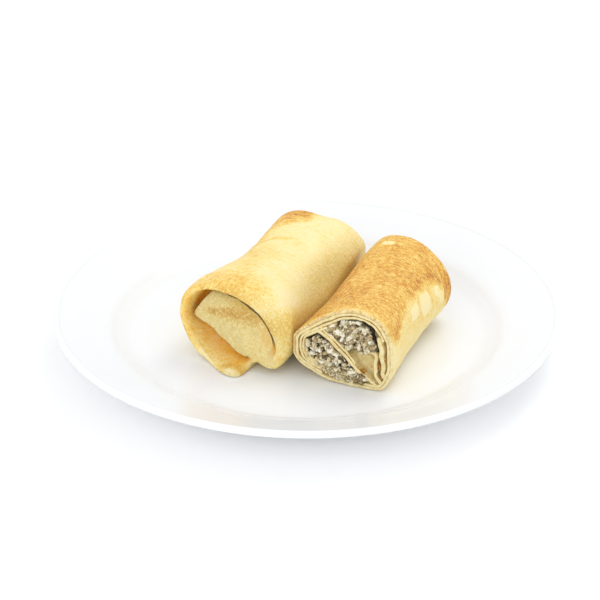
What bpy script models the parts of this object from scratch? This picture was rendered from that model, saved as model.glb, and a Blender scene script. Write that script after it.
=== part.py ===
"""A white dinner plate that holds two filled crepe rolls, one whole and one cut open across.

Metres, +Z up. The origin is the centre of the plate's foot, on the surface it stands on. Each roll is
modelled in its own coordinates, x across it, y along it from its front end and z up from the plate's
well. It is then turned about Z and set down in the well. An outline round a roll is a list of
distances from its centre line in millimetres, at equal angles counted from +X towards +Z.
"""

import bmesh
import bpy
import numpy as np

MM = 0.001
GAP = 0.3 * MM

# The plate's turned profile
PLATE_RADIUS = 120 * MM
PLATE_HEIGHT = 23 * MM
WELL_RADIUS = 80 * MM
WELL_HEIGHT = 9 * MM
SHOULDER_RADIUS = 94.5 * MM
SHOULDER_HEIGHT = 14.2 * MM
RIM_THICKNESS = 3.4 * MM
PLATE_THICKNESS = 5 * MM
FOOT_RADIUS = 72 * MM
FOOT_WIDTH = 4 * MM
PLATE_SIDES = 64

# The middle of each roll's front end on the well, and its turn from +Y, clockwise from above
WHOLE_PLACE = (-30.0 * MM, -40.0 * MM)
WHOLE_TURN = 25.0
WHOLE_LENGTH = 92 * MM
CUT_PLACE = (29.3 * MM, -60.6 * MM)
CUT_TURN = 22.5
CUT_LENGTH = 80 * MM

# Mesh density
AROUND = 56
FOLD_ROWS = 20
FLAP_ROWS = 5
BODY_ROWS = 9
BACK_ROWS = 12

# The whole roll's outline at its front, middle and back
WHOLE_CENTRE = (-2 * MM, 22 * MM)
WHOLE_FRONT = (
    26.4, 25.2, 22.4, 20.5, 19.6, 19.7, 21.5, 25.1, 30,
    30.8, 29.8, 29, 26.2, 23.2, 24, 28.4, 27.2, 26.8,
)
WHOLE_WAIST = (
    25.4, 21.9, 19.7, 18.1, 17, 17.1, 18.5, 20.8, 24.2,
    26.2, 26.9, 27, 25.4, 22.5, 22.3, 24.4, 25, 26,
)
WHOLE_BACK = (
    27, 26, 23.4, 21, 19, 19.7, 22.2, 24.3, 24.9,
    27, 28.4, 27.9, 25.4, 22.3, 22.4, 25.3, 27.5, 27,
)

# Its folded front end, round which each row gives: the angle, how far in the rim's crest lies, the radii
# of the rim's inner edge and of the flap's edge, how deep the hollow between them is, how far the rim
# overlaps the flap, and how far the two are one
FOLD = (
    (-24, 0.6, 19.6, 19.0, 5.5, 1, 0),
    (-5, 1.2, 15.4, 14.8, 6.5, 1, 0),
    (20, 2.7, 11.6, 11, 8.5, 1, 0),
    (60, 4, 9.5, 8.9, 9.5, 1, 0),
    (95, 4, 10.8, 10.2, 10, 1, 0),
    (120, 3.6, 14, 13.4, 10, 1, 0),
    (134, 3.2, 18, 17.4, 10.5, 1, 0),
    (145, 2.4, 22.2, 20.2, 11.5, 0.2, 0),
    (160, 1, 25, 21.2, 12, 0, 0),
    (178, 0, 25.5, 23.6, 12, 0, 0),
    (188, 0, 25, 18.6, 12.7, 0, 0),
    (202, 0, 24, 15, 13, 0, 0),
    (228, -0.4, 24, 13.5, 13, 0, 0),
    (250, -6, 20.6, 14, 13, 0, 0),
    (264, -9.2, 18.8, 15.2, 11.5, 0, 0),
    (279, -8.6, 19.2, 16.9, 9.5, 0, 0),
    (288, -0.8, 19.2, 18.2, 5, 0, 0.5),
    (298, -0.6, 20.5, 19.5, 2, 0, 1),
    (318, -0.6, 23, 22.2, 2, 0.5, 1),
    (329, 0.2, 20.9, 20.3, 3.8, 1, 0.5),
)
FLAP_MIDDLE = 3.8 * MM
FLAP_LEAN = 0.26
FLAP_BULGE = 1.6 * MM

# The edge of its outermost layer, which runs along underneath and juts out at the front as a tongue,
# with a notch beside it
SEAM_ANGLE = 286.0
SEAM_STEP = 3.6 * MM
NOTCH = 2.6 * MM
NOTCH_ANGLE = 289.0
NOTCH_SPREAD = 11.0

# The plainer fold that closes both far ends
TUCK_RIM = 6 * MM
TUCK_GROOVE = 1.5 * MM
TUCK_DEPTH = 5 * MM
TUCK_LEVEL = 2.5 * MM

# The cut roll's outline at its cut face, middle and back
CUT_CENTRE = (-14 * MM, 19 * MM)
CUT_FACE = (
    23.6, 24, 23.7, 21.7, 19.3, 17.6, 17.8, 20.2,
    25.5, 25.4, 21.3, 19.4, 18.6, 21.3, 25.5, 25,
)
CUT_WAIST = (22.3, 22.8, 22.5, 21.5, 20, 19.7, 19.9, 19.6, 22.2, 24, 23.2, 20.6, 19.3, 21, 24.5, 23)
CUT_BACK = (
    25.4, 23.7, 22.5, 22.4, 22.7, 22.7, 20.9, 20.9,
    22.6, 23.8, 23.8, 20.4, 18.2, 18.8, 22.9, 25.3,
)
CUT_EDGE = 0.6 * MM

# Where the two rolls press against each other: how far each reaches sideways, in its own coordinates.
# The whole roll's reach is given with distances along it. Near its far end it also leans over the cut
# roll's top.
WHOLE_REACH = ((0, 24.9), (9, 22.4), (20, 23.4), (30, 24), (45, 24), (55, 23.5), (65, 22.7), (80, 22.3))
TOP_REACH = 2.6 * MM
TOP_START = 24 * MM
TOP_END = 36 * MM
FAR_START = 45 * MM
FAR_END = 75 * MM
CUT_REACH = -39.2 * MM
CUT_CLOSER = 2.3 * MM

# What shows at the cut, as (x, z) in millimetres: the two pockets of filling, the hollow in the
# folds between them, and the slits between layers of crepe
LOWER_POCKET = (
    (-33.2, 15.1), (-32.9, 17.7), (-30.1, 21.1), (-26.9, 23.9), (-20.9, 20.9), (-17.8, 17.9), (-12.7, 13.6),
    (-7.2, 8.3), (-3.1, 6.2), (0, 3.6), (-7.5, 2.4), (-10.8, 2), (-14.3, 4.2), (-18, 4.8), (-20.8, 9.3),
    (-25.3, 9.1), (-27.3, 11.6), (-30.1, 10.6), (-31.8, 12.1),
)
UPPER_POCKET = (
    (-24, 27.4), (-21.7, 29.7), (-18.3, 32.1), (-14.3, 33.6), (-9.6, 34.4), (-6.3, 34.2), (-0.9, 30.4),
    (-0.1, 26.6), (2.5, 22.5), (2, 19.6), (-1, 20), (-2.6, 18.2), (-5, 17.9), (-8.4, 18.8), (-13.8, 19.8),
    (-19.6, 23.3), (-23, 25.1),
)
HOLLOW = (
    (-10.2, 15.6), (-8.2, 17.2), (-5, 16.5), (-2.6, 16.8), (-0.9, 15.2), (0.2, 12), (0.8, 8.6), (-2.2, 7.8),
    (-5.4, 9.4), (-7.8, 11.6), (-9.2, 13.4),
)
OUTER_SLIT = (
    (-16, 34.9), (-11.3, 36.1), (-7, 36.6), (-3, 35.9), (0.6, 34), (3.9, 31.6), (5.8, 28.8), (6.8, 25),
    (6.8, 20), (6.4, 15.9), (6.1, 9),
)
LEFT_SLIT = ((-36.5, 16.9), (-35.6, 20.7), (-32.9, 24.5), (-30.1, 27.6))
MIDDLE_SLIT = ((-22, 22.9), (-18.5, 20.5), (-15.5, 18.2), (-12.4, 15.7))
SLIT_WIDTH = 0.35
SLIT_DEPTH = 1.8 * MM
CUTTER_START = -5 * MM
HOLLOW_DEPTH = 8 * MM
POCKET_DEPTH = 62 * MM
FILLING_PROUD = 0.8 * MM


def closed_curve(values, angles):
    """A smooth closed curve through equally spaced values, the first at angle 0 (Catmull-Rom)."""
    values = np.asarray(values, float)
    place = np.asarray(angles) / (2 * np.pi) * len(values)
    index = np.floor(place).astype(int)
    f = place - index
    before, here, after, beyond = (values[(index + k) % len(values)] for k in (-1, 0, 1, 2))
    bend = 2 * before - 5 * here + 4 * after - beyond + f * (3 * (here - after) + beyond - before)
    return here + 0.5 * f * (after - before + f * bend)


def open_curve(controls, count):
    """Points at equal steps of a smooth curve through the rows of controls (Catmull-Rom)."""
    controls = np.asarray(controls, float)
    padded = np.concatenate([controls[:1], controls, controls[-1:]])
    place = np.linspace(0, len(controls) - 1, count)
    index = np.minimum(place.astype(int), len(controls) - 2)
    f = (place - index).reshape(-1, *[1] * (controls.ndim - 1))
    before, here, after, beyond = (padded[index + k] for k in range(4))
    bend = 2 * before - 5 * here + 4 * after - beyond + f * (3 * (here - after) + beyond - before)
    return here + 0.5 * f * (after - before + f * bend)


def smooth_step(x, low, high):
    """0 below low, 1 above high, and a smooth rise between them."""
    t = np.clip((x - low) / (high - low), 0, 1)
    return t * t * (3 - 2 * t)


def bump(angles, centre, spread):
    """1 at the centre angle, falling to 0 at spread degrees away on either side."""
    away = np.abs((np.degrees(angles) - centre + 180) % 360 - 180)
    return 1 - smooth_step(away, 0, spread)


def blend(a, b, share):
    return a + (b - a) * share


def round_the_fold(angles):
    """The fold's columns at any angle, along straight lines between its rows."""
    table = np.array(FOLD, float)
    return [np.interp(np.degrees(angles), table[:, 0], column, period=360) for column in table[:, 1:].T]


def folded_end(angles, skin):
    """Rows (radius, distance in) of the whole roll's front end.

    They run from the skin over the rim's rounded crest to its inner edge, down into the hollow and up to
    the flap's edge, then across the flap, which leans back towards its top and bulges. Where rim and flap
    overlap, the hollow is a narrow crease, and where they are one, it is gone.
    """
    setback, rim, flap, deep, over, lip = round_the_fold(angles)
    setback, rim, flap, deep = setback * MM, rim * MM, flap * MM, deep * MM
    near = skin - NOTCH * bump(angles, NOTCH_ANGLE, NOTCH_SPREAD)
    level = FLAP_MIDDLE + FLAP_LEAN * flap * np.sin(angles)
    tip = smooth_step(-setback, 1 * MM, 6 * MM)
    crest = blend(blend(2.4, 3.4, over), 1.3, tip) * MM
    turn = setback + 1.9 * MM
    fold = [
        (skin, setback + 12 * MM),
        (blend(skin, near, 0.6), setback + 6 * MM),
        (near - 0.12 * crest, setback + 2.2 * MM),
        (near - 0.45 * crest, setback + 0.7 * MM),
        (near - crest, setback),
        (blend(near - crest, rim, 0.6), setback + blend(0.5, 0.7, over) * MM),
        (rim, setback + blend(2.4, 1.9, over) * MM),
        (
            blend(blend(rim, flap, 0.35), rim + 0.5 * MM, over),
            blend(blend(setback, deep, 0.62), blend(turn, level, 0.6), over),
        ),
        (blend(flap + 0.3 * MM, rim + 1.3 * MM, over), blend(deep, level + 1 * MM, over)),
        (
            blend(flap - 1.3 * MM, rim + 0.4 * MM, over),
            blend(blend(deep, level, 0.6), level + 0.5 * MM, over),
        ),
        (blend(flap - 0.1 * MM, flap, over), level + blend(0.9, 0.15, over) * MM),
        (flap - 0.8 * MM, level),
    ]
    fold = np.array(fold)
    plain = fold.copy()
    shares = np.linspace(0, 1, 8)[:, None]
    low = FLAP_MIDDLE + FLAP_LEAN * 0.8 * flap * np.sin(angles)
    plain[4:, 0] = blend(near - crest, 0.8 * flap, shares)
    plain[4:, 1] = blend(setback, low, smooth_step(shares, -0.2, 1.2))
    fold = blend(fold, plain, lip)

    edge, start = fold[-1]
    shares = np.linspace(0, 1, FLAP_ROWS + 1)[1:, None]
    radius = edge * (1 - 0.8 * shares)
    lean = FLAP_MIDDLE + FLAP_LEAN * radius * np.sin(angles)
    lean += (start - FLAP_MIDDLE - FLAP_LEAN * edge * np.sin(angles)) * np.maximum(1 - 3 * shares, 0)
    face = np.stack([radius, lean - FLAP_BULGE * (1 - (1 - shares) ** 2)], 1)
    return np.concatenate([open_curve(fold, FOLD_ROWS), face])


def tucked_end(angles, skin):
    """Controls (radius, distance in) of the far ends: an even rim round a flap, with a groove between."""
    even = np.zeros_like(skin)
    rim = skin - TUCK_RIM
    flap = rim - TUCK_GROOVE
    fold = [
        (skin, even + 9 * MM),
        (skin, even + 5 * MM),
        (skin - 0.1 * TUCK_RIM, even + 2 * MM),
        (skin - 0.42 * TUCK_RIM, even),
        (skin - 0.82 * TUCK_RIM, even + 0.5 * MM),
        (rim, even + 2.2 * MM),
        (rim + 0.4 * MM, even + 0.6 * TUCK_DEPTH),
        (0.5 * (rim + flap), even + TUCK_DEPTH),
        (flap + 0.2 * MM, even + blend(TUCK_LEVEL, TUCK_DEPTH, 0.6)),
        (flap, even + TUCK_LEVEL + 1.2 * MM),
        (flap - 1 * MM, even + TUCK_LEVEL),
        (0.6 * flap, even + TUCK_LEVEL - 0.3 * MM),
        (0.25 * flap, even + TUCK_LEVEL - 0.5 * MM),
    ]
    return np.array(fold)


def pressed(value, limit):
    """Values kept above a limit, with a soft turn just over it."""
    soft = 0.5 * MM
    return limit + soft * np.logaddexp(0, (value - limit) / soft)


def ring(centre, angles, radius, along):
    """Points (x, y, z) at each angle round a roll's centre line."""
    x = centre[0] + radius * np.cos(angles)
    z = centre[1] + radius * np.sin(angles)
    return np.stack([x, along + 0 * angles, z])


def body_rows(skins, start, stop):
    """Rows (radius, distance along) between the two ends, through the front, middle and back outlines."""
    radii = open_curve(skins, BODY_ROWS)
    shares = np.linspace(0, 1, BODY_ROWS)[:, None]
    return np.stack([radii, blend(start, stop, shares)], 1)[1:-1]


def loft(name, rings, surface, group):
    """A closed solid: rings of equal point count skinned in order, each end closed round its middle."""
    count = rings.shape[1]
    points = np.concatenate([rings.reshape(-1, 3), rings[:1].mean(1), rings[-1:].mean(1)])
    here = np.arange(count)
    after = (here + 1) % count
    front, back = len(points) - 2, len(points) - 1
    last = (len(rings) - 1) * count
    faces = np.stack([here * 0 + front, after, here], 1).tolist()
    faces += np.stack([here * 0 + back, last + here, last + after], 1).tolist()
    for low in range(0, last, count):
        faces += np.stack([low + here, low + after, low + count + after, low + count + here], 1).tolist()
    mesh = bpy.data.meshes.new(name)
    mesh.from_pydata(points.tolist(), [], faces)
    face_outwards(mesh, 0)
    mesh.materials.append(surface)
    mesh.shade_smooth()
    mesh.set_sharp_from_angle(angle=np.radians(40))
    thing = bpy.data.objects.new(name, mesh)
    group.objects.link(thing)
    return thing


def face_outwards(mesh, weld):
    """Weld the points closer than a distance, and turn every face outwards."""
    shell = bmesh.new()
    shell.from_mesh(mesh)
    bmesh.ops.remove_doubles(shell, verts=shell.verts, dist=weld)
    bmesh.ops.recalc_face_normals(shell, faces=shell.faces)
    shell.to_mesh(mesh)
    shell.free()


def material(name, colour, roughness):
    surface = bpy.data.materials.new(name)
    surface.use_nodes = True
    shader = surface.node_tree.nodes["Principled BSDF"]
    shader.inputs["Base Color"].default_value = (*colour, 1)
    shader.inputs["Roughness"].default_value = roughness
    shader.inputs["Metallic"].default_value = 0
    return surface


def collection(name):
    group = bpy.data.collections.new(name)
    bpy.context.scene.collection.children.link(group)
    return group


def resting_place(name, place, turn, group):
    """An empty on the well, with its Y axis along a roll, that carries the roll's pieces."""
    holder = bpy.data.objects.new(name, None)
    holder.location = (*place, WELL_HEIGHT)
    holder.rotation_euler.z = -np.radians(turn)
    group.objects.link(holder)
    return holder


def prism(name, outline, front, back, group, holder):
    """A solid with a flat outline of (x, z) in millimetres, which runs along Y from front to back."""
    curve = bpy.data.curves.new(name, "CURVE")
    curve.dimensions = "2D"
    curve.fill_mode = "BOTH"
    curve.extrude = 0.5 * (back - front)
    spline = curve.splines.new("POLY")
    spline.points.add(len(outline) - 1)
    for point, (x, z) in zip(spline.points, outline):
        point.co = (x * MM, z * MM, 0, 1)
    spline.use_cyclic_u = True
    drawn = bpy.data.objects.new(name, curve)
    group.objects.link(drawn)
    seen = drawn.evaluated_get(bpy.context.evaluated_depsgraph_get())
    mesh = bpy.data.meshes.new_from_object(seen)
    bpy.data.objects.remove(drawn)
    face_outwards(mesh, 0.01 * MM)
    solid = bpy.data.objects.new(name, mesh)
    solid.rotation_euler.x = np.radians(90)
    solid.location.y = 0.5 * (front + back)
    solid.parent = holder
    group.objects.link(solid)
    return solid


def inset(outline, distance):
    """A closed outline, drawn in either direction, moved inwards by a distance in millimetres."""
    points = np.asarray(outline, float)
    ahead = np.roll(points, -1, 0)
    edge = ahead - points
    way = np.sign(np.sum(points[:, 0] * ahead[:, 1] - ahead[:, 0] * points[:, 1]))
    after = way * np.stack([-edge[:, 1], edge[:, 0]], 1) / np.linalg.norm(edge, axis=1, keepdims=True)
    before = np.roll(after, 1, 0)
    mitre = 1 + np.sum(before * after, 1, keepdims=True)
    return points + distance * (before + after) / mitre


def slit(line):
    """The closed outline of a thin band along an open line."""
    points = np.asarray(line, float)
    along = np.gradient(points, axis=0)
    side = np.stack([-along[:, 1], along[:, 0]], 1) / np.linalg.norm(along, axis=1, keepdims=True)
    half = 0.5 * SLIT_WIDTH
    return np.concatenate([points + half * side, (points - half * side)[::-1]])


def cut_out(solid, cutter):
    cutter.hide_render = True
    cutter.display_type = "WIRE"
    cut = solid.modifiers.new(cutter.name, "BOOLEAN")
    cut.operation = "DIFFERENCE"
    cut.solver = "EXACT"
    cut.object = cutter


def make_plate(group):
    """The plate: a turned profile with a flat well, a shallow wall, a wide rim and a foot ring."""
    foot_height = WELL_HEIGHT - PLATE_THICKNESS
    half = 0.5 * RIM_THICKNESS
    edge = (PLATE_RADIUS - half, PLATE_HEIGHT - half)
    top = open_curve(
        [
            (WELL_RADIUS - 6 * MM, WELL_HEIGHT),
            (WELL_RADIUS, WELL_HEIGHT),
            (WELL_RADIUS + 5 * MM, WELL_HEIGHT + 0.5 * MM),
            (SHOULDER_RADIUS - 4.5 * MM, SHOULDER_HEIGHT - 2.6 * MM),
            (SHOULDER_RADIUS, SHOULDER_HEIGHT),
            (SHOULDER_RADIUS + 8 * MM, SHOULDER_HEIGHT + 2.7 * MM),
            (edge[0] - 1 * MM, PLATE_HEIGHT - 0.6 * MM),
        ],
        13,
    )
    turn = np.radians(np.linspace(108, -72, 6))
    lip = [(edge[0] + half * np.cos(t), edge[1] + half * np.sin(t)) for t in turn]
    under = [
        (SHOULDER_RADIUS + 4 * MM, SHOULDER_HEIGHT - 1.6 * MM),
        (SHOULDER_RADIUS - 3 * MM, SHOULDER_HEIGHT - 5.8 * MM),
        (WELL_RADIUS + 3 * MM, foot_height + 0.8 * MM),
        (FOOT_RADIUS + 2 * MM, foot_height),
        (FOOT_RADIUS, 0.5 * MM),
        (FOOT_RADIUS - 0.5 * MM, 0),
        (FOOT_RADIUS - FOOT_WIDTH + 0.5 * MM, 0),
        (FOOT_RADIUS - FOOT_WIDTH, 0.5 * MM),
        (FOOT_RADIUS - FOOT_WIDTH - 1.5 * MM, foot_height),
        (0, foot_height),
    ]
    profile = [(0, WELL_HEIGHT), *top, *lip, *under]
    mesh = bpy.data.meshes.new("plate")
    mesh.from_pydata([(r, 0, z) for r, z in profile], [(i, i + 1) for i in range(len(profile) - 1)], [])
    mesh.materials.append(material("white_glaze", (0.86, 0.86, 0.85), 0.12))
    plate = bpy.data.objects.new("plate", mesh)
    group.objects.link(plate)
    turned = plate.modifiers.new("turned", "SCREW")
    turned.axis = "Z"
    turned.steps = PLATE_SIDES
    turned.render_steps = PLATE_SIDES
    turned.use_merge_vertices = True
    turned.merge_threshold = 0.05 * MM
    turned.use_smooth_shade = True


def make_whole_roll(group, surface):
    holder = resting_place("whole_roll_place", WHOLE_PLACE, WHOLE_TURN, group)
    angles = np.arange(AROUND) / AROUND * 2 * np.pi
    skins = [MM * closed_curve(outline, angles) for outline in (WHOLE_FRONT, WHOLE_WAIST, WHOLE_BACK)]
    front = folded_end(angles, skins[0])
    back = tucked_end(angles, skins[2])
    back[:, 1] = WHOLE_LENGTH - back[:, 1]
    rows = [*front[::-1], *body_rows(skins, front[0, 1], back[0, 1]), *open_curve(back, BACK_ROWS)]
    x, y, z = np.stack([ring(WHOLE_CENTRE, angles, radius, along) for radius, along in rows], 1)
    reach = np.interp(y, *MM * np.array(WHOLE_REACH).T)
    reach += TOP_REACH * smooth_step(z, TOP_START, TOP_END) * smooth_step(y, FAR_START, FAR_END)
    x = -pressed(-x, -reach)
    z = pressed(z, GAP + SEAM_STEP * smooth_step(np.degrees(angles), SEAM_ANGLE - 3, SEAM_ANGLE + 4))
    roll = loft("crepe_whole", np.stack([x, y, z], -1), surface, group)
    roll.parent = holder


def make_cut_roll(group, cutters, surface, meat):
    holder = resting_place("cut_roll_place", CUT_PLACE, CUT_TURN, group)
    angles = np.arange(AROUND) / AROUND * 2 * np.pi
    skins = [MM * closed_curve(outline, angles) for outline in (CUT_FACE, CUT_WAIST, CUT_BACK)]
    face = skins[0] - CUT_EDGE
    flat = np.zeros_like(face)
    back = tucked_end(angles, skins[2])
    back[:, 1] = CUT_LENGTH - back[:, 1]
    rows = [(0.5 * face, flat), (face, flat), (skins[0], flat + CUT_EDGE)]
    rows += [*body_rows(skins, CUT_EDGE, back[0, 1]), *open_curve(back, BACK_ROWS)]
    x, y, z = np.stack([ring(CUT_CENTRE, angles, radius, along) for radius, along in rows], 1)
    x = pressed(x, CUT_REACH + CUT_CLOSER * y / CUT_LENGTH)
    z = pressed(z, GAP)
    roll = loft("crepe_cut", np.stack([x, y, z], -1), surface, group)
    roll.parent = holder

    cut_out(roll, prism("lower_pocket", LOWER_POCKET, CUTTER_START, POCKET_DEPTH, cutters, holder))
    cut_out(roll, prism("upper_pocket", UPPER_POCKET, CUTTER_START, POCKET_DEPTH, cutters, holder))
    cut_out(roll, prism("hollow", HOLLOW, CUTTER_START, HOLLOW_DEPTH, cutters, holder))
    for name, line in (("outer_slit", OUTER_SLIT), ("left_slit", LEFT_SLIT), ("middle_slit", MIDDLE_SLIT)):
        cut_out(roll, prism(name, slit(line), CUTTER_START, SLIT_DEPTH, cutters, holder))

    for name, pocket in (("filling_lower", LOWER_POCKET), ("filling_upper", UPPER_POCKET)):
        outline = inset(pocket, GAP / MM)
        filling = prism(name, outline, -FILLING_PROUD, POCKET_DEPTH - GAP, group, holder)
        filling.data.materials.append(meat)
        soft = filling.modifiers.new("soft_edge", "BEVEL")
        soft.width = FILLING_PROUD
        soft.segments = 2
        soft.limit_method = "ANGLE"
        soft.angle_limit = np.radians(60)


def main():
    for thing in list(bpy.data.objects):
        bpy.data.objects.remove(thing)
    group = collection("crepes_on_a_plate")
    cutters = collection("cutters")
    make_plate(group)
    crepe = material("golden_crepe", (0.85, 0.58, 0.22), 0.6)
    make_whole_roll(group, crepe)
    make_cut_roll(group, cutters, crepe, material("minced_meat", (0.38, 0.32, 0.19), 0.7))


main()
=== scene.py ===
"""The finish of a white plate that holds two filled crepe rolls, one whole and one cut open across.

Metres, +Z up. Each roll is shaped in its own coordinates: x across it, y along it from its front end,
and z up from the plate's well. An outline round a roll is a list of distances from its centre line in
millimetres, at equal angles counted from +X towards +Z. What shows at the cut is drawn as (x, z) in
millimetres on the cut roll's face.
"""

import bmesh
import bpy
import numpy as np
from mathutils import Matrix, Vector


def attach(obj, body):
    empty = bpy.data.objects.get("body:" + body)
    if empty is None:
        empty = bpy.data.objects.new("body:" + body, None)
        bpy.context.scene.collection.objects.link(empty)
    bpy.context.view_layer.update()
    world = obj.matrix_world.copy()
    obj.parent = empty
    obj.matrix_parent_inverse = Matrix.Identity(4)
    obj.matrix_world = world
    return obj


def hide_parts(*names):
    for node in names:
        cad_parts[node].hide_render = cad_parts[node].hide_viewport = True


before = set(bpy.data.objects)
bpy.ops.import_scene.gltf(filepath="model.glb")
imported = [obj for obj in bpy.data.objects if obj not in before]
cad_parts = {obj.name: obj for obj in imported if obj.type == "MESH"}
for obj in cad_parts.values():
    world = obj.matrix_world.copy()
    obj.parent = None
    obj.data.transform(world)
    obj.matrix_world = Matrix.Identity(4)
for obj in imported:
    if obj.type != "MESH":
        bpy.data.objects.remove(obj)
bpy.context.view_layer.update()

MM = 0.001
GAP = 0.3 * MM

# The plate's turned profile
PLATE_RADIUS = 120 * MM
PLATE_HEIGHT = 23 * MM
WELL_RADIUS = 80 * MM
WELL_HEIGHT = 9 * MM
SHOULDER_RADIUS = 94.5 * MM
SHOULDER_HEIGHT = 14.2 * MM
RIM_THICKNESS = 3.4 * MM
PLATE_THICKNESS = 5 * MM
FOOT_RADIUS = 72 * MM
FOOT_WIDTH = 4 * MM

# The middle of each roll's front end on the well, and its turn from +Y, clockwise from above
WHOLE_PLACE = (-30.0 * MM, -40.0 * MM)
WHOLE_TURN = 25.0
WHOLE_LENGTH = 92 * MM
CUT_PLACE = (29.3 * MM, -60.6 * MM)
CUT_TURN = 22.5
CUT_LENGTH = 80 * MM

# The whole roll's outline at its front, middle and back
WHOLE_CENTRE = (-2 * MM, 22 * MM)
WHOLE_FRONT = (
    26.4, 25.2, 22.4, 20.5, 19.6, 19.7, 21.5, 25.1, 30,
    30.8, 29.8, 29, 26.2, 23.2, 24, 28.4, 27.2, 26.8,
)
WHOLE_WAIST = (
    25.4, 21.9, 19.7, 18.1, 17, 17.1, 18.5, 20.8, 24.2,
    26.2, 26.9, 27, 25.4, 22.5, 22.3, 24.4, 25, 26,
)
WHOLE_BACK = (
    27, 26, 23.4, 21, 19, 19.7, 22.2, 24.3, 24.9,
    27, 28.4, 27.9, 25.4, 22.3, 22.4, 25.3, 27.5, 27,
)
# Its folded front end: angle, how far in the rim's crest lies, the radii of the rim's inner edge and the
# flap's edge, how deep the hollow is, how far the rim overlaps the flap, and how far the two are one
FOLD = (
    (-24, 0.6, 19.6, 19, 5.5, 1, 0), (-15, 0.8, 17.6, 17, 6, 1, 0),
    (-5, 1.2, 15, 14.4, 6.5, 1, 0), (8, 2, 12.7, 12.1, 7.5, 1, 0),
    (22, 2.8, 10.9, 10.3, 8.5, 1, 0), (42, 3.5, 9.4, 8.8, 9, 1, 0),
    (63, 4, 8.6, 8, 9.5, 1, 0), (81, 4, 9.1, 8.5, 10, 1, 0),
    (97, 4, 10.1, 9.5, 10, 1, 0), (112, 3.8, 12.2, 11.6, 10, 1, 0),
    (124, 3.5, 14.5, 13.9, 10, 1, 0), (134, 3.2, 18, 17.4, 10.5, 1, 0),
    (142, 2.6, 21.3, 20.6, 11.5, 0.25, 0), (150, 1.8, 23.8, 20.7, 12, 0, 0),
    (160, 1, 25.4, 21.5, 12, 0, 0), (170, 0.3, 26.2, 22.7, 12, 0, 0),
    (178, 0, 26.4, 24.4, 12, 0, 0), (183, 0, 26.2, 24.4, 12.5, 0, 0),
    (187, 0, 25.8, 21.4, 12.5, 0, 0), (193, 0, 25.2, 17.6, 13, 0, 0),
    (202, 0, 24.4, 15, 13, 0, 0), (214, 0, 24, 13.7, 13, 0, 0),
    (228, -0.4, 24, 12.7, 12.5, 0, 0), (240, -3.2, 22.6, 12.4, 11, 0, 0),
    (250, -6, 20.6, 12.7, 9, 0, 0), (259, -8.3, 19.2, 13.5, 7.5, 0, 0),
    (268, -9.4, 18.6, 14.4, 6, 0, 0), (276, -9.2, 18.9, 15.2, 5, 0, 0),
    (282, -7.6, 19.6, 16, 4.2, 0, 0), (286, -1, 19.4, 16.9, 3.6, 0, 0.3),
    (291, -0.4, 19, 18, 3, 0, 0.9), (298, -0.6, 20.5, 19, 2, 0, 1),
    (308, -0.8, 23, 22, 2, 0, 1), (318, -0.6, 23, 22.2, 2, 0.5, 1),
    (327, 0, 21.8, 21.2, 3, 1, 0.75), (332, 0.4, 20.6, 20, 4.5, 1, 0.2),
)
# How far in the flap's middle lies, how it leans back upwards, and how it bulges
FLAP_MIDDLE = 3.8 * MM
FLAP_LEAN = 0.26
FLAP_BULGE = 1.6 * MM
# The notch in the rim beside the tongue, and the step where the outermost layer ends under the roll
NOTCH = 2.6 * MM
NOTCH_ANGLE = 289.0
NOTCH_SPREAD = 11.0
SEAM_ANGLE = 286.0
SEAM_STEP = 3.6 * MM
SEAM_LIFT = 1.8 * MM
# The rim and groove at the far end of both rolls
TUCK_RIM = 6 * MM
TUCK_GROOVE = 1.5 * MM

# The cut roll's outline at its cut face, middle and back
CUT_CENTRE = (-14 * MM, 19 * MM)
CUT_FACE = (
    23.6, 24, 23.7, 21.7, 19.3, 17.6, 17.8, 20.2,
    25.5, 25.4, 21.3, 19.4, 18.6, 21.3, 25.5, 25,
)
CUT_WAIST = (22.3, 22.8, 22.5, 21.5, 20, 19.7, 19.9, 19.6, 22.2, 24, 23.2, 20.6, 19.3, 21, 24.5, 23)
CUT_BACK = (
    25.4, 23.7, 22.5, 22.4, 22.7, 22.7, 20.9, 20.9,
    22.6, 23.8, 23.8, 20.4, 18.2, 18.8, 22.9, 25.3,
)

# Where the two rolls press against each other. The whole roll's reach sideways is given with distances
# along it, and near its far end it also leans over the cut roll's top.
WHOLE_REACH = ((0, 24.9), (9, 22.4), (20, 23.4), (30, 24), (45, 24), (55, 23.5), (65, 22.7), (80, 22.3))
TOP_REACH = 2.6 * MM
TOP_START = 24 * MM
TOP_END = 36 * MM
FAR_START = 45 * MM
FAR_END = 75 * MM
CUT_REACH = -39.2 * MM
CUT_CLOSER = 2.3 * MM

# The two pockets of filling, the upper one's part that is strewn with crumbs, the finer paste below the
# lower one, and the hollow in the folds between them
LOWER_POCKET = (
    (-33.2, 15.1), (-32.9, 17.7), (-30.1, 21.1), (-26.9, 23.9), (-20.9, 20.9), (-17.8, 17.9),
    (-12.7, 13.6), (-7.2, 8.3), (-3.1, 6.2), (0, 3.6), (-6.5, 2.8), (-9.8, 3.2), (-13.3, 5.2),
    (-17, 6.6), (-20.4, 9.2),
    (-25.3, 9.6), (-27.3, 11.4), (-30.1, 10.8), (-31.8, 12.2),
)
UPPER_POCKET = (
    (-24, 27.4), (-21.7, 29.7), (-18.3, 32.1), (-14.3, 33.6), (-9.6, 34.4), (-6.3, 34.2), (-0.9, 30.4),
    (-0.1, 26.6), (2.5, 22.5), (2, 19.6), (-1, 20), (-2.6, 18.2), (-5, 17.9), (-8.4, 18.8), (-13.8, 19.8),
    (-19.6, 23.3), (-23, 25.1),
)
UPPER_CRUMBS = ((-18.5, 32.5), *UPPER_POCKET[3:15], (-16, 21.5), (-14.5, 26), (-17, 29.5))
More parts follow.
